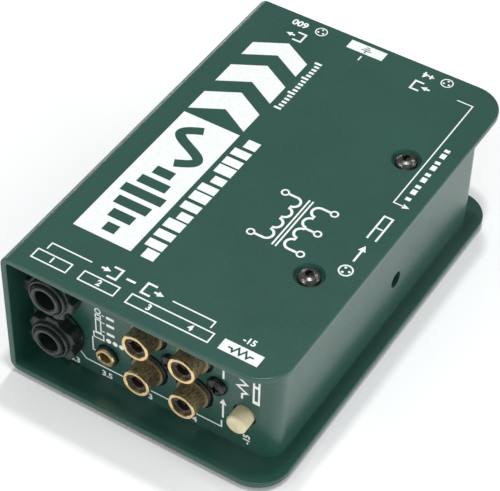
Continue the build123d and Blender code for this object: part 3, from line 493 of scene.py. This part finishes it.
# ---- Printing -------------------------------------------------------------------------
def curve_to_mesh(curve):
    curve.extrude = INK / 2
    thing = bpy.data.objects.new("mark", curve)
    bpy.context.scene.collection.objects.link(thing)
    mesh = bpy.data.meshes.new_from_object(thing)
    bpy.data.objects.remove(thing)
    bpy.data.curves.remove(curve)
    return mesh


def flat_mesh(outlines):
    """Fills nested outlines to a plate of ink."""
    curve = bpy.data.curves.new("mark", "CURVE")
    curve.dimensions = "2D"
    curve.fill_mode = "BOTH"
    for outline in outlines:
        spline = curve.splines.new("POLY")
        spline.points.add(len(outline) - 1)
        for point, (x, y) in zip(spline.points, outline):
            point.co = (x, y, 0, 1)
        spline.use_cyclic_u = True
    return curve_to_mesh(curve)


def number_mesh(text, size):
    """Numerals, centred on the origin."""
    curve = bpy.data.curves.new("number", "FONT")
    curve.body = text
    curve.size = size
    curve.align_x = "CENTER"
    curve.align_y = "CENTER"
    curve.offset = size * NUMERAL_WEIGHT
    return curve_to_mesh(curve)


class Print:
    """Collects marks on one face and joins them to one piece."""

    def __init__(self, name, origin, across, up):
        self.name = name
        across, up = Vector(across), Vector(up)
        normal = across.cross(up)
        turn = Matrix((across, up, normal)).transposed().to_4x4()
        lift = Matrix.Translation(normal * (INK / 2 - INK_SINK) * MM)
        self.matrix = lift @ Matrix.Translation(origin) @ turn @ Matrix.Scale(MM, 4)
        self.sheet = bmesh.new()

    def add(self, outlines):
        self.stamp(flat_mesh(outlines), Matrix.Identity(4))

    def number(self, text, x, y, size, turn=0.0):
        place = Matrix.Translation((x, y, 0)) @ Matrix.Rotation(math.radians(turn), 4, "Z")
        self.stamp(number_mesh(text, size), place)

    def stamp(self, mesh, place):
        mesh.transform(self.matrix @ place)
        self.sheet.from_mesh(mesh)
        bpy.data.meshes.remove(mesh)

    def done(self):
        bmesh.ops.remove_doubles(self.sheet, verts=self.sheet.verts, dist=WELD)
        mesh = bpy.data.meshes.new(self.name)
        self.sheet.to_mesh(mesh)
        self.sheet.free()
        mesh.materials.append(FINISHES["white_ink"])
        piece = bpy.data.objects.new(self.name, mesh)
        bpy.context.scene.collection.objects.link(piece)
        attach(piece, BODY)


# Layout of the top plate, in millimetres from its middle: x is the box's X and y its Y.
BLOCK_LEFT, BLOCK_RIGHT = -32.8, -14.4
BLOCK_LOW, BLOCK_HIGH = -44.2, 9.1
BLOCK_MIDDLE = (BLOCK_LEFT + BLOCK_RIGHT) / 2
BLOCK_BORDER = 2.6
LABEL_LOW, LABEL_HIGH = -60.0, -56.2
LABEL_MIDDLE = (LABEL_LOW + LABEL_HIGH) / 2
SOCKET_LABELS = ((-35.2, -23.9, "1"), (-20.4, -9.0, "2"), (-5.6, 19.7, "34"))
BRACKET_LINE = -52.9
BRACKET_ENDS = ((-33.1, -20.4), (17.6, 4.6))  # foot and free end of each half
PAD_X, PAD_NUMBER_LINE = 28.4, -53.9
OUTPUT_X, LIFT_X, INPUT_X = -24.0, -3.1, 18.0
REAR_ARROWS, REAR_ROW = 54.8, 60.4
LIFT_NUMBER_LINE, LIFT_SYMBOL_LINE = 56.4, 60.3
SELECT_START_X, SELECT_START_Y = 29.2, 55.5
SELECT_X, SELECT_END = 34.2, 9.4
TOP_NUMERAL, REAR_NUMERAL = 2.8, 3.4
FROM_SIDE, FROM_BEHIND = 90, 180  # turns of the marks that read from there


def print_top():
    sheet = Print("top_print", Vector((0, 0, COVER_HIGH.z)), (1, 0, 0), (0, 1, 0))
    print_panel_block(sheet)
    print_chevrons(sheet)
    print_scales(sheet)
    print_transformer(sheet)
    print_front_labels(sheet)
    print_rear_labels(sheet)
    print_select_lines(sheet)
    sheet.done()


def print_panel_block(sheet):
    """Solid white block with a level meter and a wave cut out of it."""
    reach = (BLOCK_RIGHT - BLOCK_LEFT) / 2 - BLOCK_BORDER
    bar, gap = 3.3, 1.7
    outlines = box_mark(BLOCK_LEFT, BLOCK_LOW, BLOCK_RIGHT, BLOCK_HIGH)
    y = BLOCK_LOW + BLOCK_BORDER
    for share in (0.3, 0.55, 0.8, 1.0, 0.7, 0.45):
        half = reach * share
        outlines += box_mark(BLOCK_MIDDLE - half, y, BLOCK_MIDDLE + half, y + bar)
        y += bar + gap
    stroke, steps, full_turn = 3.0, 36, 2 * math.pi
    start, length = y + stroke / 2, BLOCK_HIGH - BLOCK_BORDER - y - stroke
    swing = reach - stroke / 2
    turns = [full_turn * i / steps for i in range(steps + 1)]
    wave = [
        (BLOCK_MIDDLE + swing * math.sin(turn), start + length * turn / full_turn)
        for turn in turns
    ]
    sheet.add(outlines + line_mark(wave, stroke))


def print_chevrons(sheet):
    """Three bold chevrons that point along the box."""
    tip = 5.2
    for low, thick in ((11.0, 8.4), (25.0, 8.4), (39.0, 6.4)):
        high = low + thick
        lower = [(BLOCK_LEFT, low), (BLOCK_MIDDLE, low + tip), (BLOCK_RIGHT, low)]
        upper = [(BLOCK_RIGHT, high), (BLOCK_MIDDLE, high + tip), (BLOCK_LEFT, high)]
        sheet.add([lower + upper])


def print_scales(sheet):
    """Row of blocks beside the panel block, and a fine scale beside the chevrons."""
    left, right, pitch, count = -12.9, -7.4, 4.15, 13
    narrow, wide, short_by = 2.9, 3.5, 1.6
    for i in range(count):
        low = BLOCK_LOW + pitch * i
        inset = 0.0 if i % 4 else short_by
        sheet.add(box_mark(left + inset, low, right, low + (narrow if i % 3 else wide)))
    left, start, pitch, count = -12.2, 24.4, 1.5, 16
    length, longer_by, thickness = 1.6, 0.7, 0.8
    for i in range(count):
        low = start + pitch * i
        overhang = 0.0 if i % 5 else longer_by
        sheet.add(box_mark(left - overhang, low, left + length, low + thickness))


def print_transformer(sheet):
    """Circuit symbol of a transformer with terminals on its windings, one tapped midway."""
    x, y, loop, loops, stroke = 15.6, -19.0, 2.3, 4, 0.75
    gap, lead = 3.9, 2.6
    core_offset, core_half, core_reach = 0.55, 0.25, 0.6
    low, high = y - loop, y + loop * (2 * loops - 1)
    ends = (low + stroke / 2, high - stroke / 2)
    for side, start, end in ((-1, -90, 90), (1, 90, 270)):
        foot = x + side * gap
        for i in range(loops):
            sheet.add(arc_mark(foot, y + 2 * loop * i, loop, start, end, stroke))
        for level in ends:
            print_terminal(sheet, foot, level, side, lead, stroke)
    print_terminal(sheet, x + gap, (low + high) / 2, 1, lead, stroke)
    for dx in (-core_offset, core_offset):
        left, right = x + dx - core_half, x + dx + core_half
        sheet.add(box_mark(left, low - core_reach, right, high + core_reach))


def print_terminal(sheet, x, y, side, lead, stroke):
    """Lead to the left (side -1) or right (side 1) of a point, with a ring at its end."""
    ring, ring_offset, ring_width = 1.25, 1.15, 0.5
    tip = x + side * lead
    sheet.add(box_mark(min(x, tip), y - stroke / 2, max(x, tip), y + stroke / 2))
    sheet.add(ring_mark(x + side * (lead + ring_offset), y, ring, ring_width))


def print_front_labels(sheet):
    """Numbered boxes over the instrument end's sockets, and the bracket that groups them."""
    for x0, x1, numbers in SOCKET_LABELS:
        sheet.add(frame_mark(x0, LABEL_LOW, x1, LABEL_HIGH))
        for i, number in enumerate(numbers):
            x = x0 + (x1 - x0) * (2 * i + 1) / (2 * len(numbers))
            sheet.number(number, x, LABEL_MIDDLE, TOP_NUMERAL)
    pad_half = 5.8
    pad_box = box_mark(PAD_X - pad_half, LABEL_LOW, PAD_X + pad_half, LABEL_HIGH)
    symbol = resistor_symbol(pitch=1.05, height=1.0, stroke=0.55)
    sheet.add(pad_box + moved(symbol, PAD_X, LABEL_MIDDLE))
    sheet.number("-15", PAD_X, PAD_NUMBER_LINE, TOP_NUMERAL)
    foot = LABEL_HIGH + 0.9
    for x0, x1 in BRACKET_ENDS:
        sheet.add(line_mark([(x0, foot), (x0, BRACKET_LINE), (x1, BRACKET_LINE)]))
    in_x, dash_left, dash_right, out_x = -14.6, -9.6, -6.8, -1.2
    arrow_size, dash_half = 3.7, 0.35
    dash_low, dash_high = BRACKET_LINE - dash_half, BRACKET_LINE + dash_half
    sheet.add(moved(box_arrow(arrow_size, inward=True), in_x, BRACKET_LINE))
    sheet.add(box_mark(dash_left, dash_low, dash_right, dash_high))
    sheet.add(moved(box_arrow(arrow_size, inward=False), out_x, BRACKET_LINE))


def print_rear_labels(sheet):
    """Marks over the XLR end, which read from behind the box."""
    for x, inward, pins_offset, rating, rating_offset in (
        (OUTPUT_X, False, 5.6, "600", -1.5),
        (INPUT_X, True, 5.4, "+4", -0.5),
    ):
        arrow, pins = box_arrow(size=3.6, inward=inward), three_pins(radius=1.9)
        sheet.add(moved(arrow, x, REAR_ARROWS, FROM_BEHIND))
        sheet.add(moved(pins, x + pins_offset, REAR_ROW, FROM_BEHIND))
        sheet.number(rating, x + rating_offset, REAR_ROW, REAR_NUMERAL, FROM_BEHIND)
    lift_half, lift_low, lift_high = 5.9, 58.6, 62.4
    lift_box = box_mark(LIFT_X - lift_half, lift_low, LIFT_X + lift_half, lift_high)
    symbol = moved(ground_symbol(), LIFT_X, LIFT_SYMBOL_LINE, FROM_BEHIND)
    sheet.add(lift_box + symbol)
    sheet.number("1", LIFT_X, LIFT_NUMBER_LINE, TOP_NUMERAL, FROM_BEHIND)


def print_select_lines(sheet):
    """Line from the XLR input to the side switch, with the three-pin symbol and an arrow."""
    corners = [(SELECT_X, SELECT_START_Y), (SELECT_X, SELECT_END)]
    start, end = (SELECT_START_X, SELECT_START_Y), (SELECT_X + 3.0, SELECT_END)
    sheet.add(line_mark([start, *corners, end], width=0.38))
    head, tip, wing = SELECT_X + 2.8, SELECT_X + 4.8, 0.9
    sheet.add([[(head, SELECT_END - wing), (tip, SELECT_END), (head, SELECT_END + wing)]])
    x, pins_y, arrow_y, number_y = SELECT_X + 1.9, -19.5, -15.6, -1.6
    sheet.add(moved(three_pins(radius=2.1, stroke=0.45), x, pins_y, FROM_SIDE))
    sheet.add(moved(arrow_mark(length=6.6, head=2.2, width=0.6), x, arrow_y, FROM_SIDE))
    low, high, half = -6.2, 3.4, 1.3
    cup = [(x - half, low), (x - half, high), (x + half, high), (x + half, low)]
    sheet.add(line_mark(cup, width=0.55))
    sheet.number("1", x, number_y, TOP_NUMERAL, FROM_SIDE)
    dashes_x, start, pitch, half, count = SELECT_X + 2.7, 12.0, 2.8, 0.8, 9
    for i in range(count):
        length = 2.0 if i % 2 else 1.2
        low = start + pitch * i
        sheet.add(box_mark(dashes_x - half, low, dashes_x + half, low + length))


# Layout of the instrument end, in millimetres: x from the middle, and the height above
# the cover's foot.
UNDERLINE = 6.4
UNDERLINE_ENDS = ((-24.7, UNDERLINE + 2), (20.9, UNDERLINE + 2.7))
UNDERLINE_CORNERS = (-22.9, 20.9)
NUMBER_LINE = 3.7
SOCKET_NUMBERS = (("6.3", -26.8), ("3.5", -16.0), ("3", -1.8), ("4", 12.4))
ARROWS_X, ARROW_FEET = 21.3, (10.4, 26.0)
METER = (30.2, 22.2, 32.4, 34.0)  # left, low, right and high
METER_WINDOWS = ((30.8, 23.4, 31.8, 28.4), (30.8, 29.4, 31.8, 32.6))
PAD_SYMBOL, PAD_NUMBER = (27.0, 28.1), (28.8, 6.2)
PLUG_X = -18.2
PLUG_LINE = 0.38
PANEL_NUMERAL = 2.9


def print_front():
    """Marks on the instrument end's panel."""
    origin = Vector((0, CHASSIS_LOW.y, FOOT))
    sheet = Print("front_print", origin, (1, 0, 0), (0, 0, 1))
    first, last = UNDERLINE_ENDS
    corners = [(x, UNDERLINE) for x in UNDERLINE_CORNERS]
    sheet.add(line_mark([first, *corners, last], width=0.45))
    print_plug(sheet)
    for number, x in SOCKET_NUMBERS:
        sheet.number(number, x, NUMBER_LINE, PANEL_NUMERAL)
    for foot in ARROW_FEET:
        arrow = arrow_mark(length=7.6, head=2.2, width=0.6)
        sheet.add(moved(arrow, ARROWS_X, foot, FROM_SIDE))
    meter = box_mark(*METER)
    for window in METER_WINDOWS:
        meter += box_mark(*window)
    sheet.add(meter)
    symbol = resistor_symbol(pitch=1.7, height=1.5, stroke=0.6)
    sheet.add(moved(symbol, *PAD_SYMBOL, FROM_SIDE))
    sheet.number("-15", *PAD_NUMBER, PANEL_NUMERAL, FROM_SIDE)
    sheet.done()


def print_plug(sheet):
    """Outline of a jack plug, with ticks at its tip, ring and sleeve and a lead to a socket."""
    lead_x, lead_low, lead_high = PLUG_X - 2.1, 11.8, 17.0
    lead = [(PLUG_X - 1.4, lead_low), (lead_x, lead_low), (lead_x, lead_high)]
    sheet.add(line_mark(lead, PLUG_LINE))
    for half, low, high in ((1.8, 17.2, 19.6), (1.0, 19.6, 25.0), (1.0, 25.3, 26.9)):
        sheet.add(frame_mark(PLUG_X - half, low, PLUG_X + half, high, PLUG_LINE))
    sheet.add(ring_mark(PLUG_X, 28.2, 1.05, PLUG_LINE))
    for level in (21.0, 24.4, 27.3):
        for left, right, half in ((1.2, 2.1, 0.15), (2.7, 5.2, 0.5)):
            sheet.add(box_mark(PLUG_X + left, level - half, PLUG_X + right, level + half))
    first_dot, pitch, height, radius, count = PLUG_X + 3.2, 2.1, 18.2, 0.8, 3
    for i in range(count):
        sheet.add(disc_mark(first_dot + pitch * i, height, radius))


# ---- Floor ----------------------------------------------------------------------------
FLOOR_REACH = 4.0


def make_floor():
    mesh = bpy.data.meshes.new("floor")
    signs = ((-1, -1), (1, -1), (1, 1), (-1, 1))
    corners = [(x * FLOOR_REACH, y * FLOOR_REACH, 0) for x, y in signs]
    mesh.from_pydata(corners, [], [(0, 1, 2, 3)])
    finish = Finish("floor_paper", Roughness=0.9, Specular_IOR_Level=0.2)
    drift = finish.noise(scale=6.0)
    finish.colour(finish.blend(drift, (0.83, 0.84, 0.84), (0.86, 0.865, 0.865)))
    mesh.materials.append(finish.material)
    floor = bpy.data.objects.new("floor", mesh)
    bpy.context.scene.collection.objects.link(floor)


make_camera()
make_light()
make_floor()
make_finishes()
dress_frame()
print_top()
print_front()
